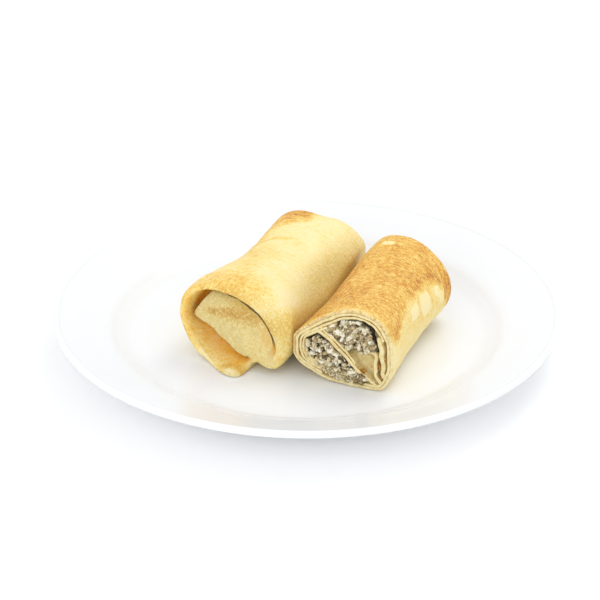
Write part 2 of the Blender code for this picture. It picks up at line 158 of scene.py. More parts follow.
PASTE = (
    (-28.5, 9.6), (-25, 10), (-20.5, 9.2), (-16.5, 7), (-12.5, 5), (-8, 3.4), (-12.5, 1.6), (-18, 3),
    (-24, 5.8),
)
HOLLOW = (
    (-10.2, 15.6), (-8.2, 17.2), (-5, 17.2), (-2.6, 17.2), (-0.9, 15.2), (0.2, 12), (0.8, 8.6), (-1.2, 7),
    (-5.4, 9.2), (-7.8, 11.4), (-9.2, 13.4),
)

# Layers of crepe that show end on at the cut. Each of the wrap's layers follows the roll's outline: its
# depth, the angles where it starts and stops, and its thickness. Each fold inside follows its own line,
# with its thickness, and 1 if its edge is browned.
LAYER = 1.45
WRAPS = (
    (2.2, -62, 236, 1.55), (4.05, 20, 246, 1.45), (5.5, 130, 250, 1.45), (6.9, 190, 248, 1.4),
)
FOLDS = (
    (((-26.4, 25.4), (-22.5, 23.1), (-19.5, 20.8), (-15.6, 17.1), (-11.5, 13.4), (-8.3, 10.1),
      (-4.6, 7.1), (-1, 4.6), (2, 2.9)), 2, 0),
    (((-25.6, 27.7), (-22, 24.8), (-18.5, 22.2), (-15, 19.3), (-12, 16.8), (-10.2, 14.4),
      (-8.6, 12)), 1.35, 0),
    (((-3.4, 19.7), (-0.4, 19.6), (1.6, 18), (1.2, 14.6), (1.5, 11.4), (1.3, 8.8), (2.6, 6.4),
      (4.3, 4.8)), 1.9, 0),
    (((2.4, 27.6), (3.2, 24.2), (4.1, 21), (3.9, 18.2), (4.8, 15.4), (5.1, 12.4), (4.7, 9.8),
      (5.8, 7.6)), 2.3, 0),
    (((-28.5, 9.6), (-25, 8.4), (-21, 6.9), (-17, 5.4), (-13, 4.1), (-9, 3.2)), 5.4, 0),
    (((-32.6, 13.6), (-33.2, 15.6), (-32.9, 17.8), (-31.4, 19.8)), 0.9, 1),
    (((-6.2, 9.7), (-5.2, 8.9), (-4, 7.9)), 0.45, 1),
    (((3, 14), (3.3, 12.6), (3.2, 11.2)), 1.2, 1),
    (((3.6, 8.8), (3.9, 7.6), (4.6, 6.4)), 1.2, 1),
)
# The cut edge of the outer layer: share of the layer's thickness, distance behind the cut, and how doughy
CUT_EDGE = (
    (1, 2.4, 0.3), (1, 1.2, 0.7), (1, 0.4, 1), (0.9, 0.1, 1), (0.7, 0, 1), (0.45, 0, 1), (0.2, 0.08, 1),
    (0.05, 0.3, 0.8), (0, 0.7, 0.4),
)
FACE_BED = 3.6 * MM
HOLLOW_DEPTH = 5 * MM
FACE_DEPTH = 10 * MM

# Shallow creases across the rolls: distance along, middle angle, spread, depth and width. A crease bends
# towards the far end on both sides of its middle.
WHOLE_CREASES = (
    (59, 105, 60, 0.5, 1.1), (76, 110, 50, 0.45, 1.0), (47, 135, 35, 0.3, 0.9),
)
CUT_CREASES = (
    (30, 120, 60, 0.35, 1.0), (44, 100, 50, 0.3, 0.9), (62, 95, 60, 0.4, 1.0),
    (71, 20, 40, 0.7, 2.2), (68, -14, 20, 0.9, 1.3), (64, -46, 20, 1.7, 1.5),
)
CREASE_BEND = 0.0012

# Patches on the skins: middle angle and distance along, half widths round and along, how soft the edge is
# (0 to 1), and how much browner the patch is, or below 0 how much paler
WHOLE_PATCHES = (
    (112, 86, 24, 6, 0.6, 0.3), (155, 62, 16, 5, 0.8, 0.25), (8, 7, 18, 7, 0.6, 0.3),
    (22, 52, 14, 14, 0.8, 0.1), (182, 4, 36, 26, 0.8, 0.1), (180, 60, 50, 40, 0.8, 0.2),
    (28, 5, 18, 12, 0.8, -0.2), (110, 36, 24, 12, 0.9, 0.18), (142, 44, 20, 14, 0.8, 0.1),
)
# Painted shade down the whole roll's side that faces the cut roll, given as a patch of the same form; its
# last number is how strong the painted shade is
WHOLE_PAINTED_SHADE = ((-4, 48, 40, 48, 0.6, 1.0),)
CUT_PATCHES = (
    (-10, 75.5, 26, 4, 0.5, 0.14), (22, 69, 12, 5, 0.9, -0.14), (-18, 69.2, 12, 0.8, 0.6, 0.22),
    (-42, 65.2, 16, 0.8, 0.6, 0.3), (50, 44, 24, 8, 0.8, 0.06), (98, 14, 16, 10, 0.8, 0.14),
    (132, 22, 14, 26, 0.8, 0.18), (20, 8, 8, 6, 0.7, 0.1), (14, 48, 22, 30, 0.8, 0.24),
    (98, 68, 9, 2.4, 0.2, -0.6), (15, 34.5, 9, 4.3, 0.2, -0.4), (12, 47, 12, 5.5, 0.2, -0.42),
    (12, 59.5, 8, 2, 0.25, -0.5), (2, 62.5, 6, 3, 0.4, -0.3), (-22, 68, 9, 3, 0.4, -0.35),
)
# The angle that the cut roll's browned side comes down to, at distances along the roll
BROWN_ALONG = (0, 10, 20, 30, 50, 60, 68, 72)
BROWN_FROM = (12, 14, 27, 31, 29, 24, 6, -24)

# The marks that the pan's sweep leaves, on a skin laid flat: the skin's mean radius, the length given to
# a radian round the sweep's middle, the angle where the flat skin starts, and the middle on each roll
SKIN_RADIUS = 21 * MM
SWEEP_LENGTH = 55 * MM
SWEEP_START = -75.0
WHOLE_SWEEP = (15, -50)
CUT_SWEEP = (30, -22)

# Columns round a roll, and rows over its parts
COLUMNS = 300
FOLD_ROWS = 106
FLAP_ROWS = 28
WHOLE_ROWS = 118
WHOLE_END_ROWS = 46
BED_ROWS = 60
CUT_ROWS = 150
CUT_END_ROWS = 48

CAMERA_AIM = (-3.2 * MM, 0, 24.1 * MM)
CAMERA_RISE = 27.25
CAMERA_DISTANCE = 0.9
CAMERA_LENS = 113.4


def tint(*colour):
    """A colour given as it looks on a screen, 0 to 255, as the linear values that a shader takes."""
    value = np.array(colour) / 255
    linear = np.where(value <= 0.04045, value / 12.92, ((value + 0.055) / 1.055) ** 2.4)
    return (*linear.tolist(), 1.0)


# Shapes: rules and curves


def along_curve(before, here, after, beyond, f):
    """The Catmull-Rom curve between here and after, at shares f of the way."""
    bend = 2 * before - 5 * here + 4 * after - beyond + f * (3 * (here - after) + beyond - before)
    return here + 0.5 * f * (after - before + f * bend)


def closed_curve(values, angles):
    """A smooth closed curve through equally spaced values, the first at angle 0."""
    values = np.asarray(values, float)
    place = np.asarray(angles) / (2 * np.pi) * len(values)
    index = np.floor(place).astype(int)
    f = place - index
    if values.ndim == 2:
        f = f[:, None]
    return along_curve(*(values[(index + k) % len(values)] for k in (-1, 0, 1, 2)), f)


def open_curve(controls, count):
    """Points at equal steps of a smooth curve through the rows of controls."""
    controls = np.asarray(controls, float)
    padded = np.concatenate([controls[:1], controls, controls[-1:]])
    place = np.linspace(0, len(controls) - 1, count)
    index = np.minimum(place.astype(int), len(controls) - 2)
    f = (place - index).reshape(-1, *[1] * (controls.ndim - 1))
    return along_curve(*(padded[index + k] for k in range(4)), f)


def smooth_step(x, low, high):
    """0 below low, 1 above high, and a smooth rise between them."""
    t = np.clip((x - low) / (high - low), 0, 1)
    return t * t * (3 - 2 * t)


def plateau(x, low, high, end, gone):
    """0 below low, 1 from high to end, and 0 again above gone."""
    return smooth_step(x, low, high) * (1 - smooth_step(x, end, gone))


def bump(angles, centre, spread):
    """1 at the centre angle, falling to 0 at spread degrees away on either side."""
    away = np.abs((np.degrees(angles) - centre + 180) % 360 - 180)
    return 1 - smooth_step(away, 0, spread)


def blend(a, b, share):
    """From a, at share 0, to b, at share 1."""
    return a + (b - a) * share


def pressed(value, limit):
    """Values kept above a limit, with a soft turn just over it."""
    soft = 0.5 * MM
    return limit + soft * np.logaddexp(0, (value - limit) / soft)


def lumps(points, size, seed):
    """Smooth noise from -1 to 1: random values on a cubic lattice of one size, eased between corners."""
    table = np.random.default_rng(seed).uniform(-1, 1, (32, 32, 32))
    place = np.asarray(points) / size
    cell = np.floor(place).astype(int)
    f = place - cell
    f = f * f * (3 - 2 * f)
    total = np.zeros(place.shape[:-1])
    for corner in np.ndindex(2, 2, 2):
        share = np.prod(np.where(np.array(corner) == 1, f, 1 - f), -1)
        i, j, k = np.moveaxis((cell + corner) % 32, -1, 0)
        total += share * table[i, j, k]
    return total


def rough(points, size, seed, octaves=3):
    """Noise with finer and fainter noise added to it, each octave half the size of the last."""
    sizes = np.asarray(size, float)
    return sum(lumps(points, sizes / 2**k, seed + k) / 2**k for k in range(octaves))


def patches(angles, along, spots):
    """The sum of oval patches on a roll's skin, each fading out across its soft edge."""
    total = np.zeros(np.broadcast_shapes(np.shape(angles), np.shape(along)))
    for middle, place, wide, long, soft, strength in spots:
        away = (np.degrees(angles) - middle + 180) % 360 - 180
        distance = np.hypot(away / wide, (along - place) / long)
        total += strength * (1 - smooth_step(distance, 1 - soft, 1 + soft))
    return total


def swirl(angles, along, middle):
    """A skin's marks for the sweep of the pan: how far out from a middle point, and how far round it.

    The skin is laid flat, its distance round the roll against the distance along it, both in metres.
    """
    turned = (np.degrees(angles) - SWEEP_START) % 360 + SWEEP_START
    across = np.radians(turned - middle[0]) * SKIN_RADIUS
    ahead = along - middle[1] * MM
    return {"outwards": np.hypot(across, ahead), "sweep": np.arctan2(ahead, across) * SWEEP_LENGTH}


def edge_distance(x, z, outline):
    """How far each point is inside a closed outline, in the outline's units; negative outside it."""
    corners = np.asarray(outline, float)
    nearest = np.full(x.shape, np.inf)
    inside = np.zeros(x.shape, bool)
    for (ax, az), (bx, bz) in zip(corners, np.roll(corners, -1, 0)):
        length = (bx - ax) ** 2 + (bz - az) ** 2
        along = np.clip(((x - ax) * (bx - ax) + (z - az) * (bz - az)) / length, 0, 1)
        nearest = np.minimum(nearest, np.hypot(x - ax - along * (bx - ax), z - az - along * (bz - az)))
        crossing = (az > z) != (bz > z)
        if bz != az:
            inside ^= crossing & (x < ax + (z - az) * (bx - ax) / (bz - az))
    return np.where(inside, nearest, -nearest)


def roll_to_frame(points, place, turn):
    """A roll's own coordinates turned clockwise about Z and set down on the well."""
    x, y, z = np.moveaxis(points, -1, 0)
    cos, sin = np.cos(np.radians(turn)), np.sin(np.radians(turn))
    turned = [place[0] + x * cos + y * sin, place[1] - x * sin + y * cos, WELL_HEIGHT + z]
    return np.stack(turned, -1)


def relief(points, height):
    """A closed grid moved along its outward normals by a height at each point."""
    down = np.gradient(points, axis=0)
    wrapped = np.concatenate([points[:, -1:], points, points[:, :1]], 1)
    over = 0.5 * (wrapped[:, 2:] - wrapped[:, :-2])
    normal = np.cross(down, over)
    outwards = np.sign(np.sum(normal * (points - points.mean((0, 1)))))
    normal /= np.maximum(np.linalg.norm(normal, axis=-1, keepdims=True), 1e-12)
    return points + outwards * height[..., None] * normal


# Meshes


def grid_faces(rows, columns):
    """Faces over a grid whose columns run round, its first and last rows closed round a middle point."""
    here = np.arange(columns)
    after = (here + 1) % columns
    low = np.arange(rows - 1)[:, None] * columns
    quads = np.stack([low + here, low + after, low + columns + after, low + columns + here], -1)
    front, back = rows * columns, rows * columns + 1
    last = (rows - 1) * columns
    first_cap = np.stack([here * 0 + front, after, here], -1)
    last_cap = np.stack([here * 0 + back, last + here, last + after], -1)
    return quads.reshape(-1, 4), np.concatenate([first_cap, last_cap])


def with_ends(values):
    """A grid's values in one list, then the means of its first and last rows for its middle points."""
    flat = values.reshape(-1, *values.shape[2:])
    return np.concatenate([flat, values[:1].mean(1), values[-1:].mean(1)])


def closed_grid(points, marks):
    """Corners, outward faces and marks of a closed surface over a grid (rows, columns round, 3)."""
    corners = with_ends(points)
    quads, caps = grid_faces(*points.shape[:2])
    volume = 0
    for faces in (quads[:, [0, 1, 2]], quads[:, [0, 2, 3]], caps):
        a, b, c = (corners[faces[:, k]] for k in range(3))
        volume += np.sum(a * np.cross(b, c))
    if volume < 0:
        quads, caps = quads[:, ::-1], caps[:, ::-1]
    return corners, quads, caps, {name: with_ends(mark) for name, mark in marks.items()}


def build_mesh(name, parts):
    """One mesh from closed grids, with their marks as attributes of its points."""
    corners, quads, triangles, marks = zip(*parts)
    offsets = np.cumsum([0, *map(len, corners)])
    corners = np.concatenate(corners)
    quads = np.concatenate([faces + k for faces, k in zip(quads, offsets)])
    triangles = np.concatenate([faces + k for faces, k in zip(triangles, offsets)])
    around = np.concatenate([quads.ravel(), triangles.ravel()])
    sizes = np.repeat([4, 3], [len(quads), len(triangles)])
    mesh = bpy.data.meshes.new(name)
    mesh.vertices.add(len(corners))
    mesh.vertices.foreach_set("co", corners.astype(np.float32).ravel())
    mesh.loops.add(len(around))
    mesh.loops.foreach_set("vertex_index", around.astype(np.int32))
    mesh.polygons.add(len(sizes))
    mesh.polygons.foreach_set("loop_start", (np.cumsum(sizes) - sizes).astype(np.int32))
    for name in marks[0]:
        values = np.concatenate([mark[name] for mark in marks])
        attribute = mesh.attributes.new(name, "FLOAT", "POINT")
        attribute.data.foreach_set("value", values.astype(np.float32))
    mesh.update(calc_edges=True)
    mesh.validate()
    mesh.shade_smooth()
    return mesh


def add_object(name, data):
    """A new object in the scene."""
    thing = bpy.data.objects.new(name, data)
    bpy.context.scene.collection.objects.link(thing)
    return thing


def serve(name, parts, finish, slot, *nodes):
    """A finished piece on the plate, in place of the solids that it stands for."""
    mesh = build_mesh(name, parts)
    mesh.materials.append(finish)
    piece = add_object(name, mesh)
    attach(piece, "root")
    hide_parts(*nodes)


# The rolls


def round_the_fold(angles):
    """The fold's columns at any angle: straight lines between its rows, softened by a short average."""
    table = np.array(FOLD, float)
    order = np.argsort(table[:, 0] % 360)
    fine = np.arange(0, 360, 0.5)
    weights = np.hanning(15)[1:-1]
    columns = []
    for column in table[order, 1:].T:
        line = np.interp(fine, table[order, 0] % 360, column, period=360)
        line = np.convolve(np.concatenate([line[-6:], line, line[:6]]), weights / weights.sum(), "valid")
        columns.append(np.interp(np.degrees(angles), fine, line, period=360))
    return columns


def folded_end(angles, skin):
    """Rows (radius, distance in) of the whole roll's front end, and a step that tells them apart.

    From the skin (step 0) over the rim's rounded crest (4) and its inner edge (6), down into the hollow
    (8) and up to the flap's edge (11), then across the flap (12), which leans back towards its top and
    bulges. Where rim and flap overlap, the hollow is a narrow crease; where they are one, it is gone.
    """
    setback, rim, flap, deep, over, lip = round_the_fold(angles)
    setback, rim, flap, deep = setback * MM, rim * MM, flap * MM, deep * MM
    near = skin - NOTCH * bump(angles, NOTCH_ANGLE, NOTCH_SPREAD)
    level = FLAP_MIDDLE + FLAP_LEAN * flap * np.sin(angles)
    tip = smooth_step(-setback, 1 * MM, 6 * MM)
    crest = blend(blend(2.4, 3.4, over), 1.3, tip) * MM
    turn = setback + 1.9 * MM
    hollow_wall = blend(blend(rim, flap, 0.35), rim + 0.5 * MM, over)
    hollow_top = blend(blend(setback, deep, 0.62), blend(turn, level, 0.6), over)
    flap_wall = blend(flap - 1.3 * MM, rim + 0.4 * MM, over)
    fold = np.array([
        (skin, setback + 12 * MM),
        (blend(skin, near, 0.6), setback + 6 * MM),
        (near - 0.12 * crest, setback + 2.2 * MM),
        (near - 0.45 * crest, setback + 0.7 * MM),
        (near - crest, setback),
        (blend(near - crest, rim, 0.6), setback + blend(0.5, 0.7, over) * MM),
        (rim, setback + blend(2.4, 1.9, over) * MM),
        (hollow_wall, hollow_top),
        (blend(flap + 0.3 * MM, rim + 1.3 * MM, over), blend(deep, level + 1 * MM, over)),
        (flap_wall, blend(blend(deep, level, 0.6), level + 0.5 * MM, over)),
        (blend(flap - 0.1 * MM, flap, over), level + blend(0.9, 0.15, over) * MM),
        (flap - 0.8 * MM, level),
    ])
    plain = fold.copy()
    shares = np.linspace(0, 1, 8)[:, None]
    plain[4:, 0] = blend(near - crest, 0.8 * flap, shares)
    low = FLAP_MIDDLE + FLAP_LEAN * 0.8 * flap * np.sin(angles)
    plain[4:, 1] = blend(setback, low, smooth_step(shares, -0.2, 1.2))
    fold = blend(fold, plain, lip)

    edge, start = fold[-1]
    shares = np.linspace(0, 1, FLAP_ROWS + 1)[1:, None]
    radius = edge * (1 - 0.985 * shares)
    lean = FLAP_MIDDLE + FLAP_LEAN * radius * np.sin(angles)
    rise = start - FLAP_MIDDLE - FLAP_LEAN * edge * np.sin(angles)
    lean += rise * np.maximum(1 - 3 * shares, 0) ** 2
    face = np.stack([radius, lean - FLAP_BULGE * (1 - (1 - shares) ** 2.2)], 1)
    rows = np.concatenate([open_curve(fold, FOLD_ROWS), face])
    return rows, np.concatenate([np.linspace(0, 11, FOLD_ROWS), np.full(FLAP_ROWS, 12.0)])


def tucked_end(skin):
    """Controls (radius, distance in) of the far ends: an even rim round a flap, with a groove between."""
    rim = skin - TUCK_RIM
    flap = rim - TUCK_GROOVE
    fold = (
        (skin, 9),
        (skin, 5),
        (skin - 0.1 * TUCK_RIM, 2),
        (skin - 0.42 * TUCK_RIM, 0),
        (skin - 0.82 * TUCK_RIM, 0.5),
        (rim, 2.2),
        (rim + 0.4 * MM, 3),
        (0.5 * (rim + flap), 5),
        (flap + 0.2 * MM, 4),
        (flap, 3.7),
        (flap - 1 * MM, 2.5),
        (flap * 0.6, 2.2),
        (flap * 0.3, 2),
        (flap * 0.02, 1.9),
    )
    return np.array([(radius, np.full_like(skin, inwards * MM)) for radius, inwards in fold])


def back_rows(skins, start, length, count, end_count):
    """Rows (radius, distance along) behind a front end: through the outlines, then over the far end."""
    back = tucked_end(skins[2])
    back[:, 1] = length - back[:, 1]
    shares = np.linspace(0, 1, count)[:, None]
    body = np.stack([open_curve(skins, count), blend(start, back[0, 1], shares)], 1)
    return [*body[1:-1], *open_curve(back, end_count)]


def ring_points(centre, angles, rows):
    """Rows (radius, distance along) as x, y and z round a roll's centre line."""
    radius, along = np.moveaxis(np.asarray(rows), 1, 0)
    return centre[0] + radius * np.cos(angles), along, centre[1] + radius * np.sin(angles)


def run_along(rows, folded):
    """How far along the skin each row lies: its distance along, less the way over the folded front."""
    rows = np.asarray(rows)
    steps = np.hypot(*np.moveaxis(np.diff(rows[:folded], axis=0), 1, 0))
    way = np.cumsum(steps[::-1], 0)[::-1]
    along = rows[:, 1].copy()
    along[:folded - 1] = rows[folded - 1, 1] - way
    return along


def creases(points, angles, lines):
    """The depth of shallow creases across a roll, below 0: a groove that fades out to both sides."""
    along = points[..., 1] / MM
    total = np.zeros(along.shape)
    for place, middle, spread, depth, width in lines:
        away = (np.degrees(angles) - middle + 180) % 360 - 180
        bent = along - place - CREASE_BEND * away**2
        total -= depth * MM * np.exp(-((bent / width) ** 2)) * np.exp(-((away / spread) ** 2))
    return total


def crepe_relief(points, seed):
    """The uneven skin of a crepe: soft swells across the roll, and small blisters."""
    swell = rough(points, np.array([18, 11, 18]) * MM, seed, 2)
    blister = rough(points, np.array([2.4, 1.6, 2.4]) * MM, seed + 7, 2)
    return 0.24 * MM * swell + 0.08 * MM * blister


def whole_surface(angles):
    """The whole roll's points, pressed on the plate and the other roll, and what they started from.

    That is each one's distance along, its step over the fold, and how far along the skin it lies.
    """
    skins = [MM * closed_curve(outline, angles) for outline in (WHOLE_FRONT, WHOLE_WAIST, WHOLE_BACK)]
    front, step = folded_end(angles, skins[0])
    back = back_rows(skins, front[0, 1], WHOLE_LENGTH, WHOLE_ROWS, WHOLE_END_ROWS)
    rows = [*front[::-1], *back]
    step = np.concatenate([step[::-1], np.zeros(len(rows) - len(step))])[:, None]
    x, y, z = ring_points(WHOLE_CENTRE, angles, rows)
    reach = np.interp(y, *MM * np.array(WHOLE_REACH).T)
    reach += TOP_REACH * smooth_step(z, TOP_START, TOP_END) * smooth_step(y, FAR_START, FAR_END)
    x = -pressed(-x, -reach)
    seam = SEAM_STEP + SEAM_LIFT * bump(angles, 297, 14) * (1 - smooth_step(y, 1 * MM, 14 * MM))
    z = pressed(z, GAP + seam * smooth_step(np.degrees(angles), SEAM_ANGLE - 3, SEAM_ANGLE + 4))
    points = np.stack([x, y, z], -1)
    height = crepe_relief(points, 11) + creases(points, angles, WHOLE_CREASES)
    points = relief(points, height * smooth_step(z, 0.5 * MM, 3 * MM))
    return points, y, step, run_along(rows, len(front))


def whole_skin_brown(angles, points, along):
    """The whole roll's skin, browner behind its rim, along a crease and past another, and in patches."""
    around = np.degrees(angles) + 4 * rough(points, 9 * MM, 31, 2)
    top = bump(angles, 112, 75)
    brown = 0.14 + 0.42 * (0.5 + 0.5 * top) * (1 - smooth_step(along, 3, 10 + 28 * top))
    crease = along - 57 - 0.075 * (145 - around)
    brown += 0.34 * np.exp(-(crease**2)) * smooth_step(around, 76, 105) * (around < 200)
    crease = along - 68 - 0.17 * (145 - around)
    brown += 0.4 * smooth_step(crease, -1.5, 3) * plateau(around, 84, 104, 170, 230)
    return brown + patches(angles, along, WHOLE_PATCHES)


def flap_marks(across, height):
    """The flap's brown band, and where shade is painted on its top under the rim and on its side, at
    places in millimetres.
    """
    places = (-19, -9.5, -2, 6, 10)
    middle = np.interp(across, places, (24.6, 25.6, 26.4, 26, 27.5))
    half = np.interp(across, places, (1.8, 2.8, 4.6, 4.4, 3))
    band = np.exp(-(((height - middle) / half) ** 2)) * plateau(across, -22, -16, 8, 12)
    top = np.interp(across, (-15, 0, 10), (35, 31, 27))
    shade = np.exp(-(((height - top) / 3.4) ** 2))
    return band, shade, smooth_step(across, 6, 11) * smooth_step(height, 9, 14)


def whole_marks(angles, points, y, step):
    """The whole roll's marks: how brown it is, painted shade and painted glowing deep in its hollows,
    dark lines of browned edge and painted shade, painted olive shade, and how doughy it is, which on the
    flap also paints shade; and where its flap is.
    """
    over, lip = round_the_fold(angles)[4:]
    on_flap = np.maximum(smooth_step(step, 10, 10.6), lip * smooth_step(step, 1.5, 5.5))
    # Painted shade and glowing: the hollow between rim and flap, the scoop left of it and the corner by
    # the lip get a saturated orange that stands for shade and for light glowing through the crepe.
    hollow = plateau(step, 5.8, blend(7.5, 7.2, over), 9.8, 10.6) * (1 - lip)
    painted_hollow_glow = 0.45 * smooth_step(step, 3.4, 6.2) * (1 - over) * bump(angles, 176, 60) * (1 - on_flap)
    corner = bump(angles, 332, 14)
    painted_corner_glow = 0.8 * corner * plateau(step, 5.4, 6, 9.5, 11)

    # Dark lines: along the flap's free edge a browned edge darkened further with painted shade, and under
    # the rim's inner edge painted shade in the crease where the flap tucks in.
    edge = plateau(step, 9, 9.4, 10.5, 10.9)
    above = bump(angles, 128, 28)
    crease = blend(5.7, 5.1, bump(angles, 138, 18))
    under = plateau(step, crease, crease + 0.4, blend(10.2, 11, above), blend(10.7, 11.8, above))

    along = y / MM + 1.5 * rough(points, 7 * MM, 32, 2)
    brown = whole_skin_brown(angles, points, along)
    band, shade, side = flap_marks(points[..., 0] / MM, points[..., 2] / MM)
    side = side * on_flap
    tongue = (1 - smooth_step(along, -5, 1)) * bump(angles, 272, 34)
    tip = smooth_step(-y, 6 * MM, 8 * MM) * bump(angles, 274, 24) * (1 - smooth_step(step, 6.4, 7.4))
    pale = bump(angles, 230, 28) * plateau(step, 0.5, 2.5, 4.6, 6.2)
    brown = blend(brown - 0.24 * pale, 0.22 + 0.68 * band, on_flap) + 0.3 * tongue
    # Painted shade on the flap: its top under the rim and its right side by the groove darken towards
    # golden orange.
    deep = np.maximum(np.maximum(hollow, painted_hollow_glow), (0.3 * side + 0.2 * shade) * on_flap * (1 - lip))
    # Painted shade: olive darkening down the side towards the cut roll, and on the tongue under the
    # overhanging flap.
    dusk = patches(angles, along, WHOLE_PAINTED_SHADE) * (1 - on_flap) + 0.6 * tongue * (1 - tip)
    return {
        "brown": brown - 0.5 * tip,
        "deep": np.maximum(deep * (1 - tip), painted_corner_glow),
        "line": blend(edge, under, smooth_step(over, 0, 0.3)) * (1 - lip) * (1 - 0.7 * corner),
        # Painted shade over the flap, strongest on its top under the rim.
        "dusk": np.maximum(dusk, (0.7 + 0.7 * shade) * on_flap * (1 - 0.2 * lip)),
        # On the flap the crumb colour is partly its own pale dough and partly painted shade, darker and
        # more olive than the skin.
        "crumb": np.maximum(0.6 * on_flap * (1 - 0.5 * lip), 0.95 * tip),
    }, on_flap


def whole_roll(finish):
    """The whole roll's surface and its marks, set down on the plate."""
    angles = np.linspace(0, 2 * np.pi, COLUMNS, endpoint=False)
    points, y, step, run = whole_surface(angles)
    marks, on_flap = whole_marks(angles, points, y, step)
    marks.update(swirl(angles, run, WHOLE_SWEEP))
    lay_flat(marks, points, on_flap)
    end_marks(marks, points, len(points) - WHOLE_END_ROWS)
    points = roll_to_frame(points, WHOLE_PLACE, WHOLE_TURN)
    serve("crepe_whole_wrap", [closed_grid(points, marks)], finish, "crepe_whole", "crepe_whole")


def lay_flat(marks, points, there):
    """Take the skin's pattern from x and z there, where it isn't wrapped round the roll."""
    marks["outwards"] = np.where(there > 0.5, points[..., 0], marks["outwards"])
    marks["sweep"] = np.where(there > 0.5, 2.5 * points[..., 2], marks["sweep"])


def end_marks(marks, points, first):
    """The far end's flap is browned by place, not by angle, and gets painted shade, with painted orange
    shade in its groove.

    The rows from the first one on lie over the 13 steps between the far end's controls.
    """
    control = np.linspace(0, 13, len(points) - first)
    there, groove = np.zeros((2, len(points), 1))
    there[first:, 0] = smooth_step(control, 5.5, 8.5)
    groove[first:, 0] = plateau(control, 5, 6.5, 7.5, 9)
    marks["brown"] = blend(marks["brown"], 0.34 + 0.24 * rough(points, 9 * MM, 51, 2), there)
    # Painted shade: orange deep in the groove, and an olive darkening over the flap.
    marks["deep"] = np.maximum(marks["deep"], 0.5 * groove)
    marks["dusk"] = blend(marks["dusk"], 0.25, there)
    lay_flat(marks, points, there)


def cut_skin(angles, skin, depth):
    """Points (x, z) at a depth under the cut roll's pressed outline."""
    x = pressed(CUT_CENTRE[0] + (skin - depth) * np.cos(angles), CUT_REACH + depth)
    z = pressed(CUT_CENTRE[1] + (skin - depth) * np.sin(angles), GAP + depth)
    return x, z


def cut_skin_brown(angles, points, y):
    """The cut roll's skin, browned down to a wavy edge on its side, in patches, and paler at the cut."""
    turned = (np.degrees(angles) + 120) % 360 - 120 + 4 * rough(points, 6 * MM, 33, 2)
    along = y / MM + 1.5 * rough(points, 5 * MM, 34, 2)
    lowest = np.interp(along, BROWN_ALONG, BROWN_FROM)
    brown = 0.17 + 0.56 * smooth_step(turned - lowest, -7, 9) * (1 - smooth_step(turned, 180, 235))
    brown += patches(np.radians(turned), along, CUT_PATCHES)
    return brown - 0.2 * (1 - smooth_step(y, 1 * MM, 4 * MM))


def bed_brown(x, z, hollow):
    """The bed behind the folds, with a spot and browned walls in the hollow, at places in millimetres."""
    spot = np.exp(-(((x + 2.2) / 1.3) ** 2) - (((z - 10) / 0.9) ** 2))
    wall = hollow * smooth_step(np.abs(x - 0.4), 2, 0.2) + hollow * smooth_step(z, 13.5, 17)
    return 0.22 + 0.35 * np.clip(wall, 0, 1) + 0.6 * spot


def cut_wrap():
    """The cut roll's outer layer: from a bed behind the cut face, up its inside, round its cut edge,
    along its skin and over its far end. The bed is deeper behind the hollow in the folds.
    """
    angles = np.linspace(0, 2 * np.pi, COLUMNS, endpoint=False)
    skins = [MM * closed_curve(outline, angles) for outline in (CUT_FACE, CUT_WAIST, CUT_BACK)]
    layer = LAYER * MM
    flat = np.zeros_like(angles)
    rows = [(share * (skins[0] - layer), flat + FACE_BED) for share in np.linspace(0.02, 1, BED_ROWS)]
    rows += [(skins[0] - layer * share, flat + along * MM) for share, along, _ in CUT_EDGE]
    rows += back_rows(skins, 1.4 * MM, CUT_LENGTH, CUT_ROWS, CUT_END_ROWS)
    x, y, z = ring_points(CUT_CENTRE, angles, rows)

    depth, bed, cut = np.zeros((3, len(rows), 1))
    bed[:BED_ROWS] = 1
    edge = slice(BED_ROWS, BED_ROWS + len(CUT_EDGE))
    depth[BED_ROWS - 1] = LAYER
    depth[edge, 0] = [LAYER * share for share, _, _ in CUT_EDGE]
    cut[edge, 0] = [doughy for _, _, doughy in CUT_EDGE]
    depth = depth * MM
    x = pressed(x, CUT_REACH + CUT_CLOSER * y / CUT_LENGTH + depth)
    z = pressed(z, GAP + depth)
    hollow = smooth_step(edge_distance(x / MM, z / MM, HOLLOW), -0.6, 1.6)
    y = y + bed * hollow * (HOLLOW_DEPTH - FACE_BED)
    points = np.stack([x, y, z], -1)
    ragged = np.exp(-((y / (1.2 * MM)) ** 2)) * (1 - bed)
    points[..., 1] += ragged * 0.35 * MM * rough(points, 3 * MM, 5, 2)
    height = crepe_relief(points, 23) * smooth_step(z, 0.5 * MM, 3 * MM) * smooth_step(y, 1 * MM, 5 * MM)
    height = height + creases(points, angles, CUT_CREASES)
    points = relief(points, height * (1 - bed))

    marks = {
        "brown": blend(cut_skin_brown(angles, points, y), bed_brown(x / MM, z / MM, hollow), bed),
        # Painted shade on the bed behind the cut face, outside the hollow: a little orange, dark lines
        # for the gaps between the layers in front of it, and an olive darkening.
        "deep": bed * 0.1 * (1 - hollow),
        "line": bed * 0.42 * (1 - hollow),
        "dusk": 0.25 * bed + 0 * x,
        "crumb": np.maximum(cut, 0.9 * bed) + 0 * x,
    }
    marks.update(swirl(angles, y, CUT_SWEEP))
    end_marks(marks, points, len(rows) - CUT_END_ROWS)
    return closed_grid(roll_to_frame(points, CUT_PLACE, CUT_TURN), marks)


